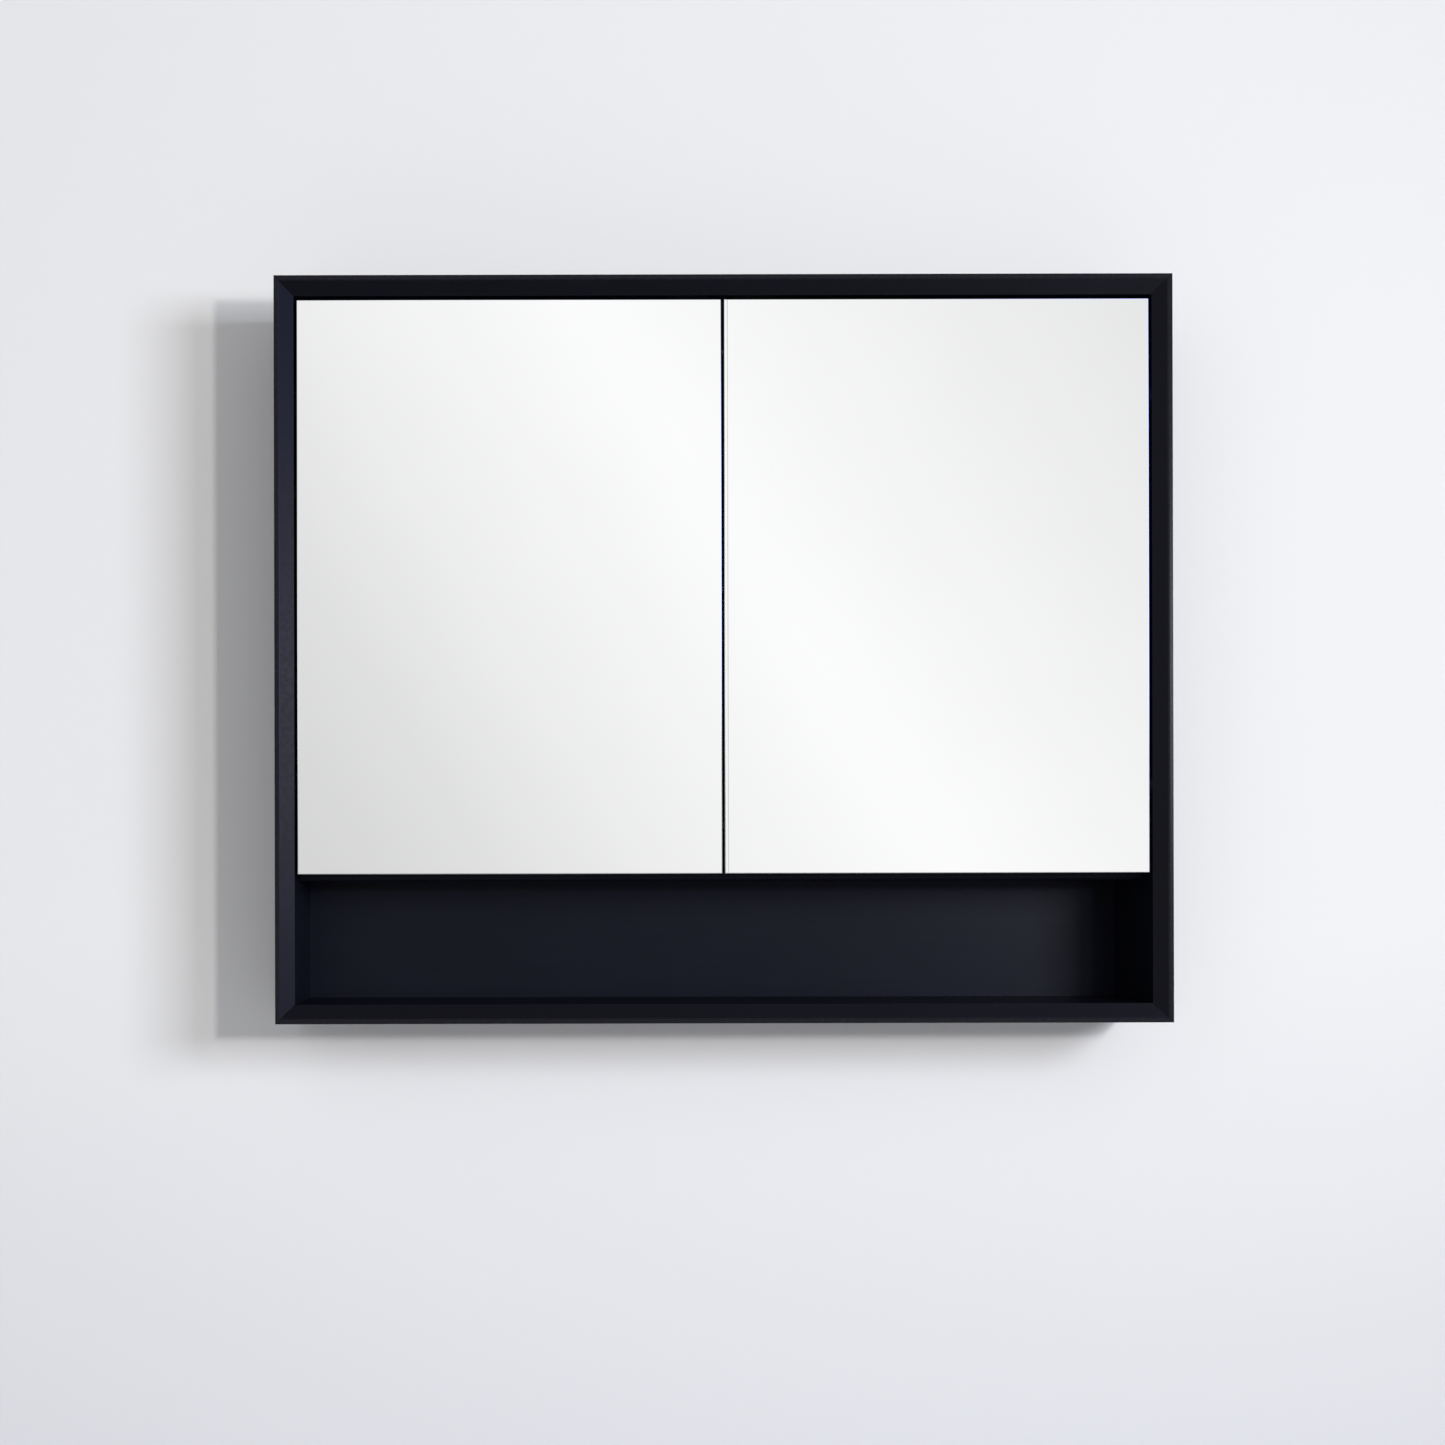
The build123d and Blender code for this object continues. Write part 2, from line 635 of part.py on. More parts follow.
# Doors: a mirror taped to a painted board that is notched round each hinge
for side_name, side in SIDES.items():
    outer = inwards(side, DOOR_SIDE_GAP)
    inner = side * DOOR_CENTRE_GAP / 2
    with BuildPart() as mirror:
        slab((outer, inner), (back(MIRROR_SETBACK), back(MIRROR_BACK)), (up(DOOR_LOW), up(DOOR_HIGH)))
        front_edges = faces().sort_by(Axis.Y)[0].edges()
        fillet(front_edges, MIRROR_EDGE)
    finish(mirror, f"{side_name}_mirror")

    with BuildPart() as mirror_tape:
        first = min(outer, inner) + TAPE_INSET + TAPE_WIDTH / 2
        last = max(outer, inner) - TAPE_INSET - TAPE_WIDTH / 2
        for strip in range(TAPE_STRIPS):
            x = first + (last - first) * strip / (TAPE_STRIPS - 1)
            slab(
                (x - TAPE_WIDTH / 2, x + TAPE_WIDTH / 2),
                (back(MIRROR_BACK), back(DOOR_BOARD_FRONT)),
                (up(DOOR_LOW + TAPE_INSET), up(DOOR_HIGH - TAPE_INSET)),
            )
    finish(mirror_tape, f"{side_name}_mirror_tape")

    with BuildPart() as door_panel:
        slab(
            (outer - side * DOOR_BOARD_INSET, inner + side * DOOR_BOARD_INSET),
            (back(DOOR_BOARD_FRONT), back(DOOR_BACK)),
            (up(DOOR_LOW + DOOR_BOARD_INSET), up(DOOR_HIGH - DOOR_BOARD_INSET)),
        )
        fillet(edges(), DOOR_BOARD_ROUND)
        for level in HINGE_LEVELS.values():
            slab(
                (outer, inwards(side, NOTCH_ACROSS)),
                (back(MIRROR_BACK), back(DOOR_BACK)),
                (up(level) - NOTCH_HEIGHT / 2, up(level) + NOTCH_HEIGHT / 2),
                Mode.SUBTRACT,
            )
            for point in leaf_screws(side, level):
                countersink(point, (0, -1, 0))
        for point in strike_screws(side):
            countersink(point, (0, -1, 0))
    finish(door_panel, f"{side_name}_door_panel")

    with BuildPart() as leaf_screw_set:
        for level in HINGE_LEVELS.values():
            for point in leaf_screws(side, level):
                screw(point, (0, -1, 0))
    finish(leaf_screw_set, f"{side_name}_leaf_screws")

    with BuildPart() as strike_plate:
        middle = (catch_middle(side), back(DOOR_BACK), strike_middle())
        with BuildSketch(Plane(origin=middle, x_dir=(1, 0, 0), z_dir=(0, 1, 0))):
            RectangleRounded(STRIKE_LENGTH, STRIKE_HEIGHT, PLATE_ROUND)
        extrude(amount=STRIKE_THICKNESS)
        for point in strike_screws(side):
            countersink(point, (0, -1, 0))
    finish(strike_plate, f"{side_name}_strike_plate")

    with BuildPart() as strike_screw_set:
        for point in strike_screws(side):
            screw(point, (0, -1, 0))
    finish(strike_screw_set, f"{side_name}_strike_screws")

# Magnetic catches under the top panel, with two steel pole plates each
CATCH_FRONT = back(DOOR_BACK + STRIKE_THICKNESS + CATCH_GAP)


def pole_plates(side, clearance, mode):
    """The two upright pole plates of one catch, let into its front."""
    low = up(CEILING - CATCH_HEIGHT) + PLATE_ROUND
    high = up(CEILING) - PLATE_ROUND
    for shift in (-POLE_PITCH, POLE_PITCH):
        x = catch_middle(side) + shift
        reach = POLE_WIDTH / 2 + clearance
        slab((x - reach, x + reach), (CATCH_FRONT, CATCH_FRONT + POLE_DEPTH + clearance),
             (low - clearance, high + clearance), mode)


with BuildPart() as catch_housings:
    for side in SIDES.values():
        x = catch_middle(side)
        slab(
            (x - CATCH_LENGTH / 2, x + CATCH_LENGTH / 2),
            (CATCH_FRONT, CATCH_FRONT + CATCH_DEPTH),
            (up(CEILING - CATCH_HEIGHT), up(CEILING)),
        )
    fillet(edges().filter_by(Axis.Z), CATCH_ROUND)
    for side in SIDES.values():
        pole_plates(side, POLE_CLEARANCE, Mode.SUBTRACT)
        for point in catch_screws(side):
            rod(point, (0, 0, 1), SCREW_HEAD_RADIUS + SCREW_CLEARANCE, SCREW_HEAD_HEIGHT, Mode.SUBTRACT)
            rod(point, (0, 0, 1), SCREW_RADIUS + SCREW_CLEARANCE, CATCH_HEIGHT, Mode.SUBTRACT)
finish(catch_housings, "catch_housings")

with BuildPart() as catch_pole_plates:
    for side in SIDES.values():
        pole_plates(side, 0, Mode.ADD)
finish(catch_pole_plates, "catch_pole_plates")

with BuildPart() as catch_screw_set:
    for side in SIDES.values():
        for point in catch_screws(side):
            with Locations(Plane(origin=point, z_dir=(0, 0, 1))):
                Cylinder(SCREW_HEAD_RADIUS, SCREW_HEAD_HEIGHT, align=(Align.CENTER, Align.CENTER, Align.MIN))
                Cylinder(SCREW_RADIUS, CATCH_SCREW_LENGTH, align=(Align.CENTER, Align.CENTER, Align.MIN))
                Box(2 * SLOT_RADIUS, SLOT_WIDTH, 2 * SLOT_DEPTH, mode=Mode.SUBTRACT)
                Box(SLOT_WIDTH, 2 * SLOT_RADIUS, 2 * SLOT_DEPTH, mode=Mode.SUBTRACT)
finish(catch_screw_set, "catch_screws")

# Rubber bumpers on the front edge of the divider, which stop both doors
with BuildPart() as door_bumpers:
    for side in SIDES.values():
        for height in BUMPER_HEIGHTS:
            seat = (side * BUMPER_OFFSET, back(DIVIDER_SETBACK), up(height))
            rod(seat, (0, -1, 0), BUMPER_RADIUS, DIVIDER_SETBACK - DOOR_BACK - BUMPER_GAP)
    fillet(faces().group_by(Axis.Y)[0].edges(), BUMPER_ROUND)
finish(door_bumpers, "door_bumpers")
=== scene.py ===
import json
import math

import bmesh
import bpy
from mathutils import Matrix, Vector


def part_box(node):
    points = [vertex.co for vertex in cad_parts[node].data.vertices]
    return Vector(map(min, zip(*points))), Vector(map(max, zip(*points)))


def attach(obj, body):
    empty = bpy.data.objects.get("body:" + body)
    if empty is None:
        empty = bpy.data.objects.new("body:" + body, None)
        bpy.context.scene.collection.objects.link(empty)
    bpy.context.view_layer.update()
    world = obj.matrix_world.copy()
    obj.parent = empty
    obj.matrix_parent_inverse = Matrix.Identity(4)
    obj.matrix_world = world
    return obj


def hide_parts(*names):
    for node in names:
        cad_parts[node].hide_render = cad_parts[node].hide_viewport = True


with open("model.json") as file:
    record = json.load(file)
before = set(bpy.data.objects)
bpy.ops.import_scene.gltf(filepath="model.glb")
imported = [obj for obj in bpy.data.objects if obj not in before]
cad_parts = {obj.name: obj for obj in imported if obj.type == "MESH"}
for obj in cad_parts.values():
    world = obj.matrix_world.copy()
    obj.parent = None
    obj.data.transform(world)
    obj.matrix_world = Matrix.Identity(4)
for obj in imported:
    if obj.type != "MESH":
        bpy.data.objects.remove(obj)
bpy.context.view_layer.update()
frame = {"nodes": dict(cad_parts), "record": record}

NODES = frame["nodes"]
SCENE = bpy.context.scene
MM = 0.001
SIDES = ("left", "right")
LEVELS = ("lower", "upper")


# ---------------------------------------------------------------- node helpers

class Wiring:
    """Short calls for the nodes of a material or of the world."""

    def __init__(self, tree):
        self.tree = tree

    def give(self, socket, value):
        """Gives an input a plain value, or the output of another node."""
        if isinstance(value, bpy.types.NodeSocket):
            self.tree.links.new(value, socket)
        else:
            socket.default_value = value

    def node(self, kind, inputs=None, **settings):
        made = self.tree.nodes.new(kind)
        for key, value in settings.items():
            setattr(made, key, value)
        for key, value in (inputs or {}).items():
            self.give(made.inputs[key], value)
        return made

    def ramp(self, value, low, high, out_low=0.0, out_high=1.0, **settings):
        """The value, spread from one range onto another and held at its ends."""
        inputs = {"Value": value, "From Min": low, "From Max": high, "To Min": out_low, "To Max": out_high}
        return self.node("ShaderNodeMapRange", inputs, **settings).outputs["Result"]

    def math(self, operation, first, second=0.0):
        return self.node("ShaderNodeMath", {0: first, 1: second}, operation=operation).outputs[0]

    def mix(self, factor, first, second, **settings):
        """A colour between two others. Each may be a colour or a socket."""
        made = self.node("ShaderNodeMix", {"Factor": factor}, data_type="RGBA", **settings)
        for slot, value in zip((6, 7), (first, second)):
            self.give(made.inputs[slot], value if isinstance(value, bpy.types.NodeSocket) else (*value, 1))
        return made.outputs[2]

    def along(self, vector, axis):
        """One coordinate of a vector."""
        return self.node("ShaderNodeSeparateXYZ", {0: vector}).outputs[axis]


class Finish(Wiring):
    """A material under construction."""

    def __init__(self, name, colour=(0.5, 0.5, 0.5), roughness=0.5, metallic=0.0, **sockets):
        self.material = bpy.data.materials.new(name)
        self.material.use_nodes = True
        super().__init__(self.material.node_tree)
        self.shader = self.tree.nodes["Principled BSDF"]
        self.feed("Base Color", (*colour, 1))
        self.feed("Roughness", roughness)
        self.feed("Metallic", metallic)
        for socket, value in sockets.items():
            self.feed(socket.replace("_", " "), value)
        self.place = self.node("ShaderNodeTexCoord").outputs["Object"]

    def feed(self, socket, value):
        self.give(self.shader.inputs[socket], value)

    def stretched(self, scale):
        """Object coordinates, scaled differently along each axis."""
        return self.node("ShaderNodeMapping", {"Vector": self.place, "Scale": scale}).outputs[0]

    def noise(self, scale, detail=2.0, rough=0.5, vector=None, distortion=0.0):
        inputs = {
            "Vector": vector or self.place,
            "Scale": scale,
            "Detail": detail,
            "Roughness": rough,
            "Distortion": distortion,
        }
        return self.node("ShaderNodeTexNoise", inputs).outputs["Fac"]

    def bump(self, height, strength, distance, normal=None):
        inputs = {"Height": height, "Strength": strength, "Distance": distance}
        if normal is not None:
            inputs["Normal"] = normal
        return self.node("ShaderNodeBump", inputs).outputs[0]

    def edges(self, radius):
        """1 on a sharp outer edge, falling to 0 within the radius."""
        rounded = self.node("ShaderNodeBevel", {"Radius": radius}, samples=6).outputs[0]
        true = self.node("ShaderNodeNewGeometry").outputs["True Normal"]
        match = self.node("ShaderNodeVectorMath", {0: rounded, 1: true}, operation="DOT_PRODUCT")
        return self.ramp(match.outputs["Value"], 0.995, 0.8)


# ---------------------------------------------------------------- materials

# Depths in front of the wall where the lacquer's zones meet: the inside, the front frame and its rim.
INSIDE_PLANE = 142.5 * MM
FRAME_PLANE = 144.0 * MM
RIM_PLANE = 149.4 * MM
RIM_FADE = 0.3 * MM
RIM_POLISH = 0.12
# The rim's lighter colour is a painted highlight, standing in for the lamps' glint along it.
RIM_HIGHLIGHT_TONE = (0.012, 0.012, 0.017)


def satin_lacquer():
    """Blue-black sprayed lacquer: fine orange peel, faint cloudiness, slightly rubbed edges.

    The front frame is coloured darker than the inside as painted shade, and the blue of both is partly a
    painted tint of the bluish light from the right; the frame's rim is lightened as a painted highlight and
    made glossier.
    """
    made = Finish("satin_lacquer", roughness=0.4, Specular_IOR_Level=0.085)
    cloud = made.noise(5.0, 3.0)
    fine = made.noise(240.0, 2.0)
    streak = made.noise(9.0, 4.0, vector=made.stretched((1, 1, 26)))
    depth = made.along(made.place, "Y")
    front = made.ramp(depth, -INSIDE_PLANE, -FRAME_PLANE)
    rim = made.ramp(depth, -RIM_PLANE, -RIM_PLANE - RIM_FADE)
    # One lacquer in two tones: the front frame's darker tone is painted shade, and the blue of both is
    # partly the paint's own and partly a painted tint of the bluish light from the right.
    inside = made.mix(made.ramp(cloud, 0.3, 0.7), (0.0052, 0.0062, 0.0122), (0.0064, 0.0074, 0.0142))
    inside = made.mix(made.ramp(streak, 0.35, 0.75, 0.0, 0.5), inside, (0.0076, 0.0088, 0.0160))
    frame_shaded_tone = made.mix(made.ramp(cloud, 0.3, 0.7), (0.0030, 0.0032, 0.0058), (0.0038, 0.0040, 0.0072))
    tone = made.mix(front, inside, frame_shaded_tone)
    # Painted highlight: the rim's colour is lightened, standing in for the glint of the lamps along it.
    tone = made.mix(made.math("MULTIPLY", rim, made.ramp(fine, 0.3, 0.7, 0.55, 0.95)), tone, RIM_HIGHLIGHT_TONE)
    rubbed = made.math("MULTIPLY", made.edges(0.7 * MM), made.ramp(fine, 0.35, 0.6, 0.2, 0.7))
    made.feed("Base Color", made.mix(rubbed, tone, (0.018, 0.019, 0.026)))
    rough = made.math("ADD", made.ramp(cloud, 0.3, 0.7, 0.35, 0.39), made.ramp(fine, 0.3, 0.7, -0.03, 0.03))
    made.feed("Roughness", made.math("SUBTRACT", rough, made.math("MULTIPLY", rim, RIM_POLISH)))
    peel = made.bump(made.noise(620.0, 1.0), 0.10, 0.12 * MM)
    made.feed("Normal", made.bump(fine, 0.05, 0.2 * MM, peel))
    return made.material


def silvered_glass():
    """The face of a mirror: silver behind glass, with a trace of haze."""
    made = Finish("silvered_glass", (0.955, 0.965, 0.962), 0.0, 1.0)
    haze = made.noise(7.0, 5.0, 0.6)
    tone = made.mix(made.ramp(haze, 0.35, 0.7), (0.964, 0.966, 0.966), (0.953, 0.955, 0.956))
    made.feed("Base Color", tone)
    return made.material


def silvering_seam():
    """The soft grey line where a mirror's silvering stops short of its edge."""
    made = Finish("silvering_seam", (0.6, 0.6, 0.6), 0.05, 1.0)
    ragged = made.noise(60.0, 3.0)
    made.feed("Base Color", made.mix(ragged, (0.52, 0.52, 0.53), (0.78, 0.78, 0.78)))
    return made.material


def polished_arris():
    """The rounded front edge of a mirror, bright because it shows the silver behind it."""
    made = Finish("polished_arris", (0.85, 0.88, 0.87), 0.1, 1.0)
    wave = made.noise(120.0, 2.0)
    made.feed("Base Color", made.mix(wave, (0.80, 0.84, 0.83), (0.92, 0.95, 0.95)))
    made.feed("Roughness", made.ramp(wave, 0.2, 0.8, 0.07, 0.15))
    made.feed("Normal", made.bump(made.noise(900.0, 2.0), 0.06, 0.05 * MM))
    return made.material


def polished_edge():
    """The ground flat edge of a float-glass mirror."""
    made = Finish("polished_edge", (0.3, 0.36, 0.35), 0.12, 0.0, Coat_Weight=1.0, Coat_Roughness=0.05)
    wave = made.noise(120.0, 2.0)
    made.feed("Base Color", made.mix(wave, (0.20, 0.27, 0.26), (0.33, 0.42, 0.40)))
    made.feed("Roughness", made.ramp(wave, 0.2, 0.8, 0.08, 0.2))
    made.feed("Normal", made.bump(made.noise(900.0, 2.0), 0.08, 0.05 * MM))
    return made.material


def backing_paint():
    """Grey protective paint on the back of a mirror."""
    made = Finish("backing_paint", (0.2, 0.21, 0.22), 0.6)
    speck = made.noise(300.0, 3.0)
    made.feed("Base Color", made.mix(speck, (0.16, 0.17, 0.18), (0.24, 0.25, 0.26)))
    made.feed("Normal", made.bump(speck, 0.1, 0.1 * MM))
    return made.material


def shelf_glass():
    """Clear float glass, faintly green."""
    made = Finish("shelf_glass", (0.90, 0.965, 0.94), 0.02, 0.0, Transmission_Weight=1.0, IOR=1.5)
    film = made.noise(30.0, 4.0, 0.6)
    made.feed("Base Color", made.mix(film, (0.90, 0.97, 0.945), (0.86, 0.94, 0.91)))
    made.feed("Roughness", made.ramp(film, 0.4, 0.8, 0.01, 0.06))
    return made.material


def shelf_edge():
    """The ground edge of a glass shelf, deeper green."""
    made = Finish("shelf_edge", (0.45, 0.75, 0.66), 0.08, 0.0, Transmission_Weight=0.6, IOR=1.5)
    wave = made.noise(80.0, 3.0)
    made.feed("Base Color", made.mix(wave, (0.34, 0.66, 0.57), (0.55, 0.82, 0.74)))
    made.feed("Roughness", made.ramp(wave, 0.3, 0.7, 0.05, 0.18))
    return made.material


def plated_steel(name, dark, light, rough_low, rough_high, grain):
    """Zinc or nickel plating over steel, brushed or tumbled, brighter on rubbed edges."""
    made = Finish(name, dark, rough_low, 1.0)
    patch = made.noise(90.0, 3.0)
    line = made.noise(260.0, 3.0, vector=made.stretched(grain))
    tone = made.mix(made.ramp(patch, 0.3, 0.7), dark, light)
    bright = tuple(min(1.0, value * 1.25) for value in light)
    made.feed("Base Color", made.mix(made.edges(0.4 * MM), tone, bright))
    made.feed("Roughness", made.ramp(line, 0.3, 0.7, rough_low, rough_high))
    made.feed("Normal", made.bump(line, 0.12, 0.05 * MM))
    return made.material


def raw_wood(name, colour, along):
    """Unfinished wood, with its figure and its fibres drawn out by the given stretch."""
    made = Finish(name, colour, 0.62, 0.0, Specular_IOR_Level=0.35)
    grain = made.stretched(along)
    figure = made.ramp(made.noise(22.0, 5.0, 0.6, grain, 0.6), 0.35, 0.65)
    fibre = made.noise(160.0, 3.0, 0.6, grain)
    made.feed("Roughness", made.ramp(fibre, 0.3, 0.7, 0.55, 0.72))
    made.feed("Normal", made.bump(fibre, 0.25, 0.15 * MM))
    return made, figure, fibre


def beech():
    """The dowels and splines."""
    made, figure, fibre = raw_wood("beech", (0.58, 0.39, 0.24), (0.12, 1, 1))
    tone = made.mix(figure, (0.58, 0.39, 0.24), (0.44, 0.27, 0.15))
    made.feed("Base Color", made.mix(made.ramp(fibre, 0.5, 0.8, 0.0, 0.7), tone, (0.198, 0.1215, 0.0675)))
    return made.material


PLY = 1.7 * MM


def birch_plywood():
    """The rails: face veneer along the rail, and its plies along the upper and lower edges."""
    made, figure, fibre = raw_wood("birch_plywood", (0.6, 0.45, 0.29), (0.08, 1, 1))
    face = made.mix(figure, (0.60, 0.45, 0.29), (0.46, 0.32, 0.19))
    depth = made.along(made.place, "Y")
    ply = made.math("PINGPONG", made.math("ADD", depth, 10 * PLY), PLY)
    layers = made.mix(made.ramp(ply, 0.4 * PLY, 0.6 * PLY), (0.56, 0.41, 0.26), (0.27, 0.16, 0.09))
    normal = made.node("ShaderNodeNewGeometry").outputs["True Normal"]
    upright = made.math("ABSOLUTE", made.along(normal, "Z"))
    tone = made.mix(made.ramp(upright, 0.5, 0.6), face, layers)
    made.feed("Base Color", made.mix(made.ramp(fibre, 0.5, 0.8, 0.0, 0.5), tone, (0.2, 0.14, 0.08)))
    return made.material


def moulded_plastic():
    """Fine-textured dark moulding."""
    made = Finish("moulded_plastic", (0.02, 0.02, 0.023), 0.48)
    spark = made.noise(700.0, 2.0)
    tone = made.mix(made.noise(40.0), (0.017, 0.017, 0.020), (0.030, 0.030, 0.034))
    made.feed("Base Color", made.mix(made.edges(0.4 * MM), tone, (0.05, 0.05, 0.055)))
    made.feed("Roughness", made.ramp(spark, 0.3, 0.7, 0.4, 0.56))
    made.feed("Normal", made.bump(spark, 0.3, 0.08 * MM))
    return made.material


def soft_rubber():
    """Translucent grey bumper rubber."""
    made = Finish("soft_rubber", (0.5, 0.5, 0.51), 0.35, 0.0, Subsurface_Weight=0.4, Subsurface_Scale=0.002)
    cloud = made.noise(200.0, 3.0)
    made.feed("Base Color", made.mix(cloud, (0.46, 0.46, 0.47), (0.60, 0.60, 0.61)))
    made.feed("Roughness", made.ramp(cloud, 0.3, 0.7, 0.28, 0.42))
    return made.material


def foam_tape():
    """White closed-cell foam."""
    made = Finish("foam_tape", (0.7, 0.7, 0.69), 0.8)
    cell = made.node("ShaderNodeTexVoronoi", {"Vector": made.place, "Scale": 1600.0}).outputs["Distance"]
    made.feed("Base Color", made.mix(cell, (0.62, 0.62, 0.61), (0.78, 0.78, 0.77)))
    made.feed("Normal", made.bump(cell, 0.4, 0.1 * MM))
    return made.material


LACQUER = satin_lacquer()
SILVER = silvered_glass()
SEAM = silvering_seam()
ARRIS_GLASS = polished_arris()
EDGE_GLASS = polished_edge()
BACKING = backing_paint()
GLASS = shelf_glass()
GLASS_EDGE = shelf_edge()
ZINC = plated_steel("zinc_plate", (0.52, 0.53, 0.55), (0.66, 0.67, 0.69), 0.22, 0.36, (1, 1, 1))
NICKEL = plated_steel("satin_nickel", (0.47, 0.46, 0.44), (0.58, 0.57, 0.55), 0.26, 0.42, (0.15, 1, 1))
PLYWOOD = birch_plywood()
BEECH = beech()
PLASTIC = moulded_plastic()
RUBBER = soft_rubber()
FOAM = foam_tape()

BY_SLOT = {
    "dark_lacquer": LACQUER,
    "mirror": SILVER,
    "shelf_glass": GLASS,
    "zinc": ZINC,
    "hinge_steel": NICKEL,
    "raw_rail": PLYWOOD,
    "beech": BEECH,
    "catch_plastic": PLASTIC,
    "bumper_rubber": RUBBER,
    "foam_tape": FOAM,
}


def paint_frame():
    """Gives every carried-over node the finish of its slot in the record."""
    for row in frame["record"]["subparts"]:
        slots = NODES[row["node"]].data.materials
        slots.clear()
        slots.append(BY_SLOT[row["material_slot"]])


# ---------------------------------------------------------------- new pieces

def keep(mesh, name, body, materials, replaced):
    """Turns a bmesh into a finished piece that rides on a body and stands for CAD nodes."""
    bmesh.ops.recalc_face_normals(mesh, faces=mesh.faces)
    data = bpy.data.meshes.new(name)
    mesh.to_mesh(data)
    mesh.free()
    for material in materials:
        data.materials.append(material)
    piece = bpy.data.objects.new(name, data)
    SCENE.collection.objects.link(piece)
    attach(piece, body)
    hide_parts(*replaced)
    return piece


def block(low, high):
    """A bmesh block between two corners."""
    mesh = bmesh.new()
    bmesh.ops.create_cube(mesh, size=1.0)
    bmesh.ops.scale(mesh, vec=Vector(high) - Vector(low), verts=mesh.verts)
    bmesh.ops.translate(mesh, vec=(Vector(low) + Vector(high)) / 2, verts=mesh.verts)
    return mesh


def soften(mesh, edges, offset, steps):
    """Rounds edges of a bmesh."""
    bmesh.ops.bevel(
        mesh,
        geom=edges,
        offset=offset,
        offset_type="OFFSET",
        segments=steps,
        profile=0.5,
        affect="EDGES",
        material=-1,
    )
    mesh.normal_update()


# A face whose normal has this much along an axis is flat on that axis.
FLAT = 0.999
MIRROR_ARRIS = 0.9 * MM
MIRROR_ARRIS_STEPS = 5
SEAM_FROM_EDGE = 3.1 * MM
SEAM_WIDTH = 0.9 * MM
MIRROR_FINISHES = (SILVER, ARRIS_GLASS, EDGE_GLASS, BACKING, SEAM)


def cut(mesh, point, normal):
    """Cuts a bmesh through along a plane, keeping both sides."""
    everything = mesh.verts[:] + mesh.edges[:] + mesh.faces[:]
    bmesh.ops.bisect_plane(mesh, geom=everything, plane_co=point, plane_no=normal)


def mirror_plate(side):
    """A mirror with a silvered face, a rounded polished edge and a painted back.

    Along the meeting edge of the right one, the end of the silvering shows as a fine grey seam.
    """
    low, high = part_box(f"{side}_mirror")
    mesh = block(low, high)
    front = [edge for edge in mesh.edges if all(v.co.y < low[1] + MM for v in edge.verts)]
    soften(mesh, front, MIRROR_ARRIS, MIRROR_ARRIS_STEPS)
    seam = (low[0] + SEAM_FROM_EDGE, low[0] + SEAM_FROM_EDGE + SEAM_WIDTH)
    if side == "right":
        for x in seam:
            cut(mesh, (x, 0, 0), (1, 0, 0))
    mesh.normal_update()
    for face in mesh.faces:
        finish = SILVER
        if face.normal.y > FLAT:
            finish = BACKING
        elif abs(face.normal.y) < 1 - FLAT:
            finish = EDGE_GLASS
        elif face.normal.y > -FLAT:
            finish = ARRIS_GLASS
            face.smooth = True
        elif side == "right" and seam[0] < face.calc_center_median().x < seam[1]:
            finish = SEAM
        face.material_index = MIRROR_FINISHES.index(finish)
    return keep(
        mesh,
        f"{side}_mirror_plate",
        f"{side}_door",
        MIRROR_FINISHES,
        (f"{side}_mirror",),
    )


SHELF_ARRIS = 0.8 * MM
SHELF_ARRIS_STEPS = 3


def glass_plate(side, level):
    """A glass shelf with softened edges, greener where it is seen through its thickness."""
    node = f"{side}_{level}_glass_shelf"
    low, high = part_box(node)
    mesh = block(low, high)
    soften(mesh, mesh.edges[:], SHELF_ARRIS, SHELF_ARRIS_STEPS)
    for face in mesh.faces:
        face.material_index = 0 if abs(face.normal.z) > FLAT else 1
        face.smooth = max(abs(value) for value in face.normal) < FLAT
    return keep(mesh, f"{side}_{level}_glass_plate", "root", (GLASS, GLASS_EDGE), (node,))


BUMPER_RADIUS = 3.5 * MM
BUMPER_LIP = 0.5 * MM
BUMPER_HEIGHTS = (-0.235, 0.005, 0.245)
BUMPER_ACROSS = 4.2 * MM
# Shares of a pad's thickness: its straight wall, and the foot of its dome.
PAD_WALL = 0.35
DOME_FOOT = 0.45
DOME_STEPS = 6
PAD_TURNS = 32


def bumper_pads():
    """Domed pads on the divider's front edge, each turned from a half profile."""
    low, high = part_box("door_bumpers")
    thick = high[1] - low[1]
    profile = [(0, 0), (BUMPER_RADIUS, 0), (BUMPER_RADIUS, PAD_WALL * thick)]
    for step in range(1, DOME_STEPS):
        turn = math.radians(90 * step / DOME_STEPS)
        out = (BUMPER_RADIUS - BUMPER_LIP) * math.cos(turn)
        profile.append((out, (DOME_FOOT + (1 - DOME_FOOT) * math.sin(turn)) * thick))
    profile.append((0, thick))
    mesh = bmesh.new()
    for height in BUMPER_HEIGHTS:
        for across in (-BUMPER_ACROSS, BUMPER_ACROSS):
            foot = Vector((across, high[1], height))
            points = [mesh.verts.new(foot + Vector((out, -rise, 0))) for out, rise in profile]
            edges = [mesh.edges.new(pair) for pair in zip(points, points[1:])]
            bmesh.ops.spin(
                mesh,
                geom=points + edges,
                cent=foot,
                axis=(0, 1, 0),
                angle=math.radians(360),
                steps=PAD_TURNS,
                use_merge=True,
            )
    bmesh.ops.remove_doubles(mesh, verts=mesh.verts, dist=0.01 * MM)
    for face in mesh.faces:
        face.smooth = True
    return keep(mesh, "bumper_pads", "root", (RUBBER,), ("door_bumpers",))


# ---------------------------------------------------------------- studio

FLOOR = -1.35
FLOOR_SIZE = 14.0
WALL_SIZE = (9.0, 6.0)
WALL_GAP = 0.5 * MM
# The heights between which the wall's colour turns darker: painted shade, for the dimmer light low on the
# wall.
PAINTED_SHADE_TOP = -0.35
PAINTED_SHADE_FOOT = -0.95


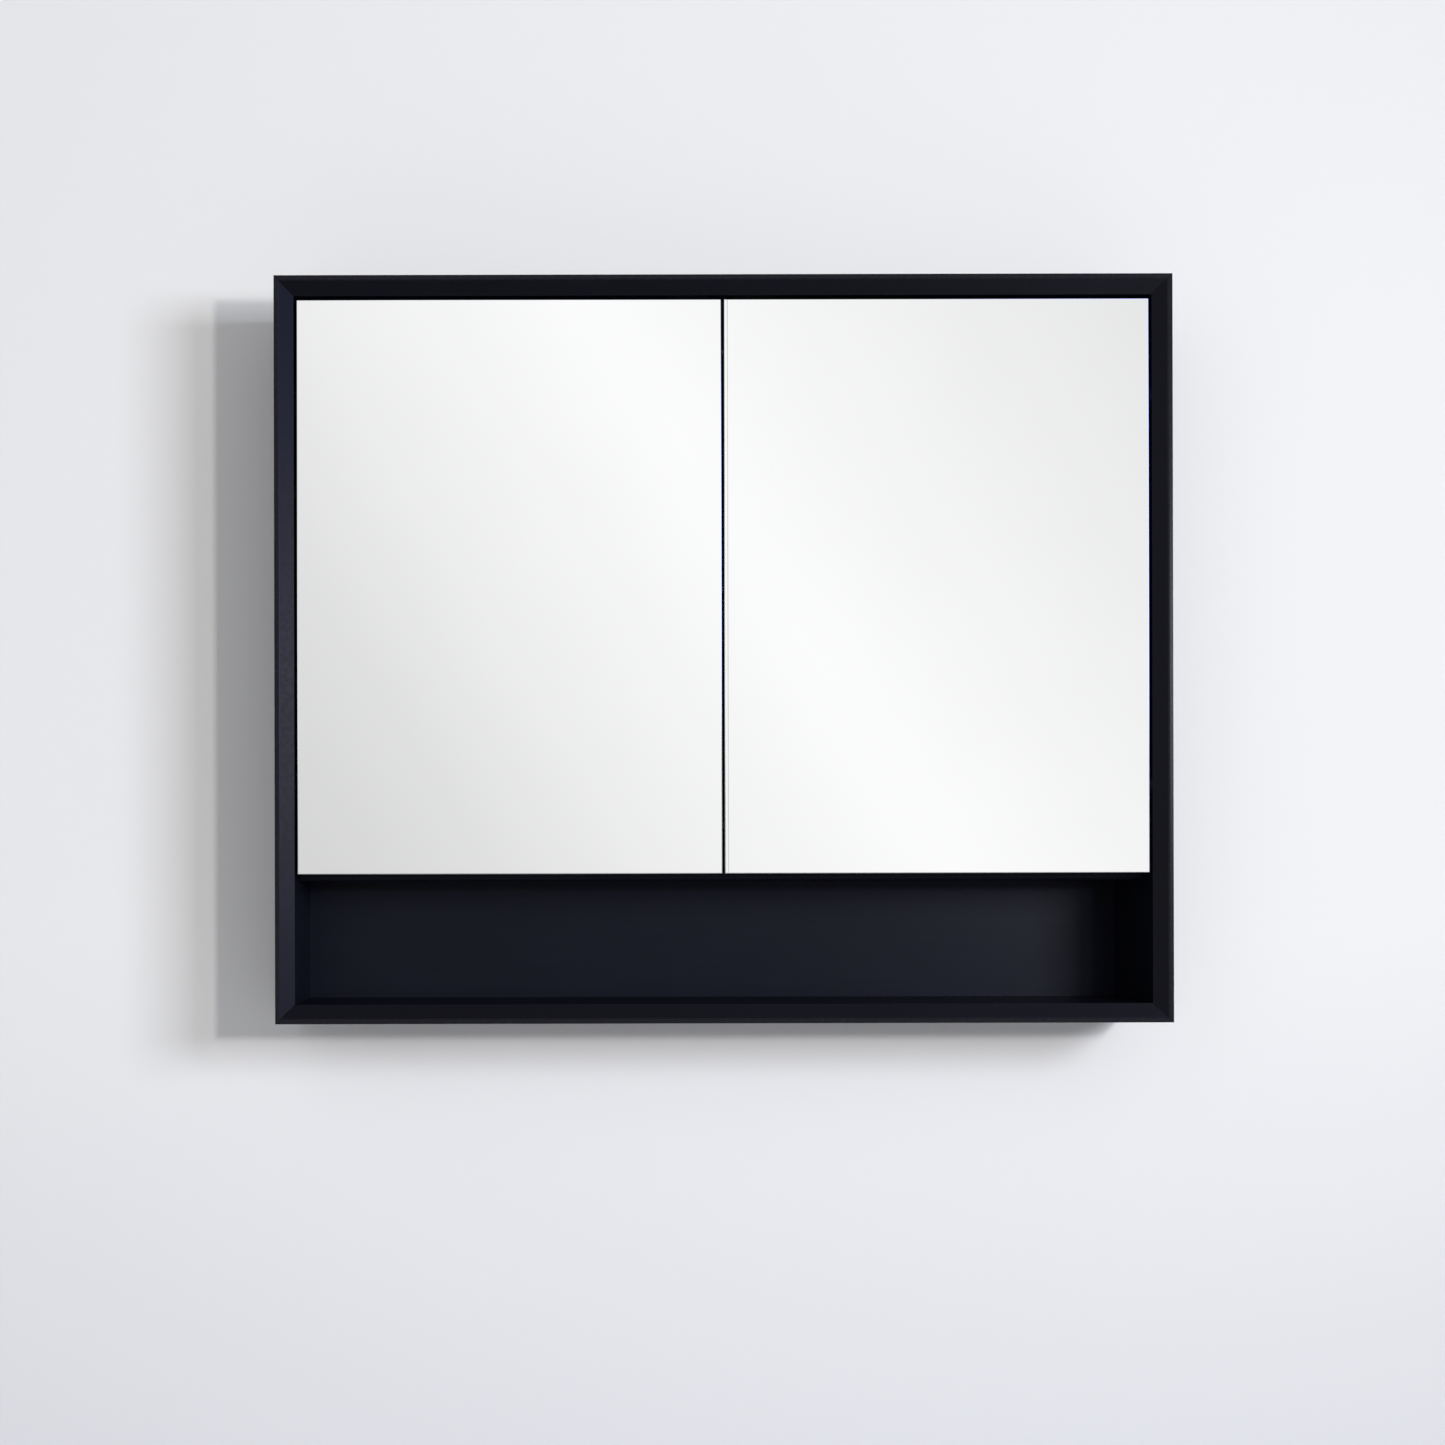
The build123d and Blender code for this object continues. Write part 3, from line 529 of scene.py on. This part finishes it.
def stage_sheet(name, size, place, material):
    """A flat sheet of the studio, centred and turned by a matrix."""
    mesh = bmesh.new()
    bmesh.ops.create_grid(mesh, x_segments=1, y_segments=1, size=0.5)
    bmesh.ops.scale(mesh, vec=(*size, 1), verts=mesh.verts)
    bmesh.ops.transform(mesh, matrix=place, verts=mesh.verts)
    data = bpy.data.meshes.new(name)
    mesh.to_mesh(data)
    mesh.free()
    data.materials.append(material)
    sheet = bpy.data.objects.new(name, data)
    SCENE.collection.objects.link(sheet)
    return sheet


def wall_paint():
    """Pale matt paint, darkened towards the floor by painted shade, on a wall that is clear from behind."""
    made = Finish("wall_paint", (0.80, 0.80, 0.81), 0.75, Specular_IOR_Level=0.2)
    upper = made.mix(made.noise(1.2, 2.0), (0.795, 0.797, 0.804), (0.81, 0.812, 0.818))
    # Painted shade: the wall's colour darkens towards the floor.
    painted_shade = made.ramp(made.along(made.place, "Z"), PAINTED_SHADE_TOP, PAINTED_SHADE_FOOT)
    made.feed("Base Color", made.mix(painted_shade, upper, (0.705, 0.715, 0.745)))
    made.feed("Normal", made.bump(made.noise(420.0, 2.0), 0.04, 0.1 * MM))
    clear = made.node("ShaderNodeBsdfTransparent").outputs[0]
    behind = made.node("ShaderNodeNewGeometry").outputs["Backfacing"]
    surface = made.node("ShaderNodeMixShader", {0: behind, 1: made.shader.outputs[0], 2: clear})
    made.give(made.tree.nodes["Material Output"].inputs["Surface"], surface.outputs[0])
    return made.material


def floor_paint():
    made = Finish("floor_paint", (0.78, 0.78, 0.79), 0.6)
    patch = made.noise(3.0, 3.0)
    made.feed("Base Color", made.mix(patch, (0.77, 0.77, 0.78), (0.80, 0.80, 0.81)))
    return made.material


def studio_wall():
    """The wall that the cabinet hangs on, and a floor well below it."""
    middle = Matrix.Translation((0, WALL_GAP, FLOOR + WALL_SIZE[1] / 2))
    upright = middle @ Matrix.Rotation(math.radians(90), 4, "X")
    wall = stage_sheet("studio_wall", WALL_SIZE, upright, wall_paint())
    wall.visible_diffuse = False
    wall.visible_shadow = False
    level = Matrix.Translation((0, 0, FLOOR))
    floor = stage_sheet("studio_floor", (FLOOR_SIZE, FLOOR_SIZE), level, floor_paint())


def area_light(name, spot, aim, size, power, colour):
    """A rectangular lamp whose light doesn't weaken with distance."""
    data = bpy.data.lights.new(name, "AREA")
    data.shape = "RECTANGLE"
    data.size, data.size_y = size
    data.energy = power
    data.color = colour
    data.use_nodes = True
    lamp = Wiring(data.node_tree)
    steady = lamp.node("ShaderNodeLightFalloff", {"Strength": 1.0}).outputs["Constant"]
    lamp.give(data.node_tree.nodes["Emission"].inputs["Strength"], steady)
    light = bpy.data.objects.new(name, data)
    turn = (Vector(aim) - Vector(spot)).to_track_quat("-Z", "Y").to_matrix().to_4x4()
    light.matrix_world = Matrix.Translation(spot) @ turn
    SCENE.collection.objects.link(light)
    return light


def shine_past_mirrors(light, mirrors):
    """Keeps a lamp's own image out of the mirrors."""
    group = bpy.data.collections.new(f"{light.name}_receivers")
    for mirror in mirrors:
        group.objects.link(mirror)
    light.light_linking.receiver_collection = group
    for row in group.collection_objects:
        row.light_linking.link_state = "EXCLUDE"


# Both lamps stand in front of the cabinet, to its right.
KEY_SPOT = (0.87, -2.46, -0.035)
KEY_AIM = (0, -0.1, -0.06)
KEY_SIZE = (0.10, 0.13)
KEY_POWER = 2.33
KEY_COLOUR = (1.04, 1.0, 0.95)
SOFT_SPOT = (1.30, -2.0, 0.15)
SOFT_AIM = (-0.2, 0, -0.06)
SOFT_SIZE = (0.75, 0.55)
SOFT_POWER = 5.02
SOFT_COLOUR = (0.96, 0.988, 1.055)


def studio_lamps(mirrors):
    """A small warm key lamp that draws the shadow's edge, and a cool soft box that the gloss shows."""
    key = area_light("key_light", KEY_SPOT, KEY_AIM, KEY_SIZE, KEY_POWER, KEY_COLOUR)
    key.visible_glossy = False
    soft = area_light("soft_box", SOFT_SPOT, SOFT_AIM, SOFT_SIZE, SOFT_POWER, SOFT_COLOUR)
    shine_past_mirrors(soft, mirrors)


# The bright screen in front of the wall. Its light is graded along a leaning line, up and to the right:
# each stop is a distance along that line, for a screen one metre away, and a brightness.
SCREEN_LEAN = 32
SCREEN_STOPS = (
    (-0.90, 1.20),
    (-0.40, 1.10),
    (-0.16, 0.72),
    (-0.10, 0.69),
    (-0.02, 0.77),
    (0.06, 0.885),
    (0.19, 1.01),
    (0.44, 0.83),
    (1.00, 0.30),
)
SCREEN_TINT = 1.005
# How squarely a direction faces the screen, where its light starts and where it is full.
SCREEN_START = 0.45
SCREEN_FULL = 0.88
# A tall bluish strip to the right, which only gloss shows: it lights the left bevel. Each pair fades
# from nothing to full, by distance across or up and down on a screen one metre away.
STRIP_INNER = (0.42, 0.60)
STRIP_OUTER = (1.25, 1.0)
STRIP_MIDDLE = 0.28
STRIP_REACH = (0.70, 0.25)
STRIP_COLOUR = (0.9, 1.15, 4.0)
# The light from above, below and the sides, and from the room behind the wall.
REST_LIGHT = 0.12
ROOM_LIGHT = 0.40
ROOM_START = 0.02
ROOM_FULL = 0.30
PALE = (0.82, 0.82, 0.828)


def studio_world():
    """Pale surroundings for the camera, and for all other rays a graded screen, a strip and a dim rest."""
    world = bpy.data.worlds.new("studio")
    SCENE.world = world
    world.use_nodes = True
    sky = Wiring(world.node_tree)
    direction = sky.node("ShaderNodeTexCoord").outputs["Generated"]
    backward = sky.along(direction, "Y")
    toward = sky.math("MULTIPLY", backward, -1.0)
    ahead = sky.math("MAXIMUM", toward, 0.05)
    across = sky.math("DIVIDE", sky.along(direction, "X"), ahead)
    above = sky.math("DIVIDE", sky.along(direction, "Z"), ahead)

    lean = math.radians(SCREEN_LEAN)
    rightward = sky.math("MULTIPLY", across, math.cos(lean))
    upward = sky.math("MULTIPLY", above, math.sin(lean))
    first, last = SCREEN_STOPS[0][0], SCREEN_STOPS[-1][0]
    graded = sky.ramp(sky.math("ADD", rightward, upward), first, last)
    screen = sky.node("ShaderNodeValToRGB", {0: graded})
    stops = screen.color_ramp.elements
    while len(stops) < len(SCREEN_STOPS):
        stops.new(0.5)
    for stop, (place, value) in zip(stops, SCREEN_STOPS):
        stop.position = (place - first) / (last - first)
        stop.color = (value, value, value * SCREEN_TINT, 1)

    rest = sky.ramp(backward, ROOM_START, ROOM_FULL, REST_LIGHT, ROOM_LIGHT)
    facing = sky.ramp(toward, SCREEN_START, SCREEN_FULL, interpolation_type="SMOOTHSTEP")
    light = sky.mix(facing, rest, screen.outputs["Color"])

    rays = sky.node("ShaderNodeLightPath").outputs
    inner = sky.ramp(across, *STRIP_INNER, interpolation_type="SMOOTHSTEP")
    outer = sky.ramp(across, *STRIP_OUTER, interpolation_type="SMOOTHSTEP")
    off_middle = sky.math("ABSOLUTE", sky.math("SUBTRACT", above, STRIP_MIDDLE))
    tall = sky.ramp(off_middle, *STRIP_REACH, interpolation_type="SMOOTHSTEP")
    strip = sky.math("MULTIPLY", sky.math("MULTIPLY", inner, outer), tall)
    glossy_strip = sky.math("MULTIPLY", strip, rays["Is Glossy Ray"])
    light = sky.mix(glossy_strip, light, STRIP_COLOUR, blend_type="ADD")
    seen = sky.mix(rays["Is Camera Ray"], light, PALE)
    sky.give(world.node_tree.nodes["Background"].inputs["Color"], seen)


CAMERA_SPOT = (-0.1815, -2.0, -0.299)
LENS = 46.04
SHIFT = (0.1242, 0.1145)
TILT = -0.13


def studio_camera():
    """A camera that looks square at the wall, a hair out of level, with its view shifted to the cabinet."""
    data = bpy.data.cameras.new("camera")
    data.lens = LENS
    data.shift_x, data.shift_y = SHIFT
    camera = bpy.data.objects.new("camera", data)
    level = Matrix.Translation(CAMERA_SPOT) @ Matrix.Rotation(math.radians(90), 4, "X")
    camera.matrix_world = level @ Matrix.Rotation(math.radians(TILT), 4, "Z")
    SCENE.collection.objects.link(camera)
    SCENE.camera = camera


# ---------------------------------------------------------------- assembly

studio_camera()
paint_frame()
mirrors = [mirror_plate(side) for side in SIDES]
for side in SIDES:
    for level in LEVELS:
        glass_plate(side, level)
bumper_pads()
studio_wall()
studio_world()
studio_lamps(mirrors)
SCENE.view_settings.view_transform = "Standard"
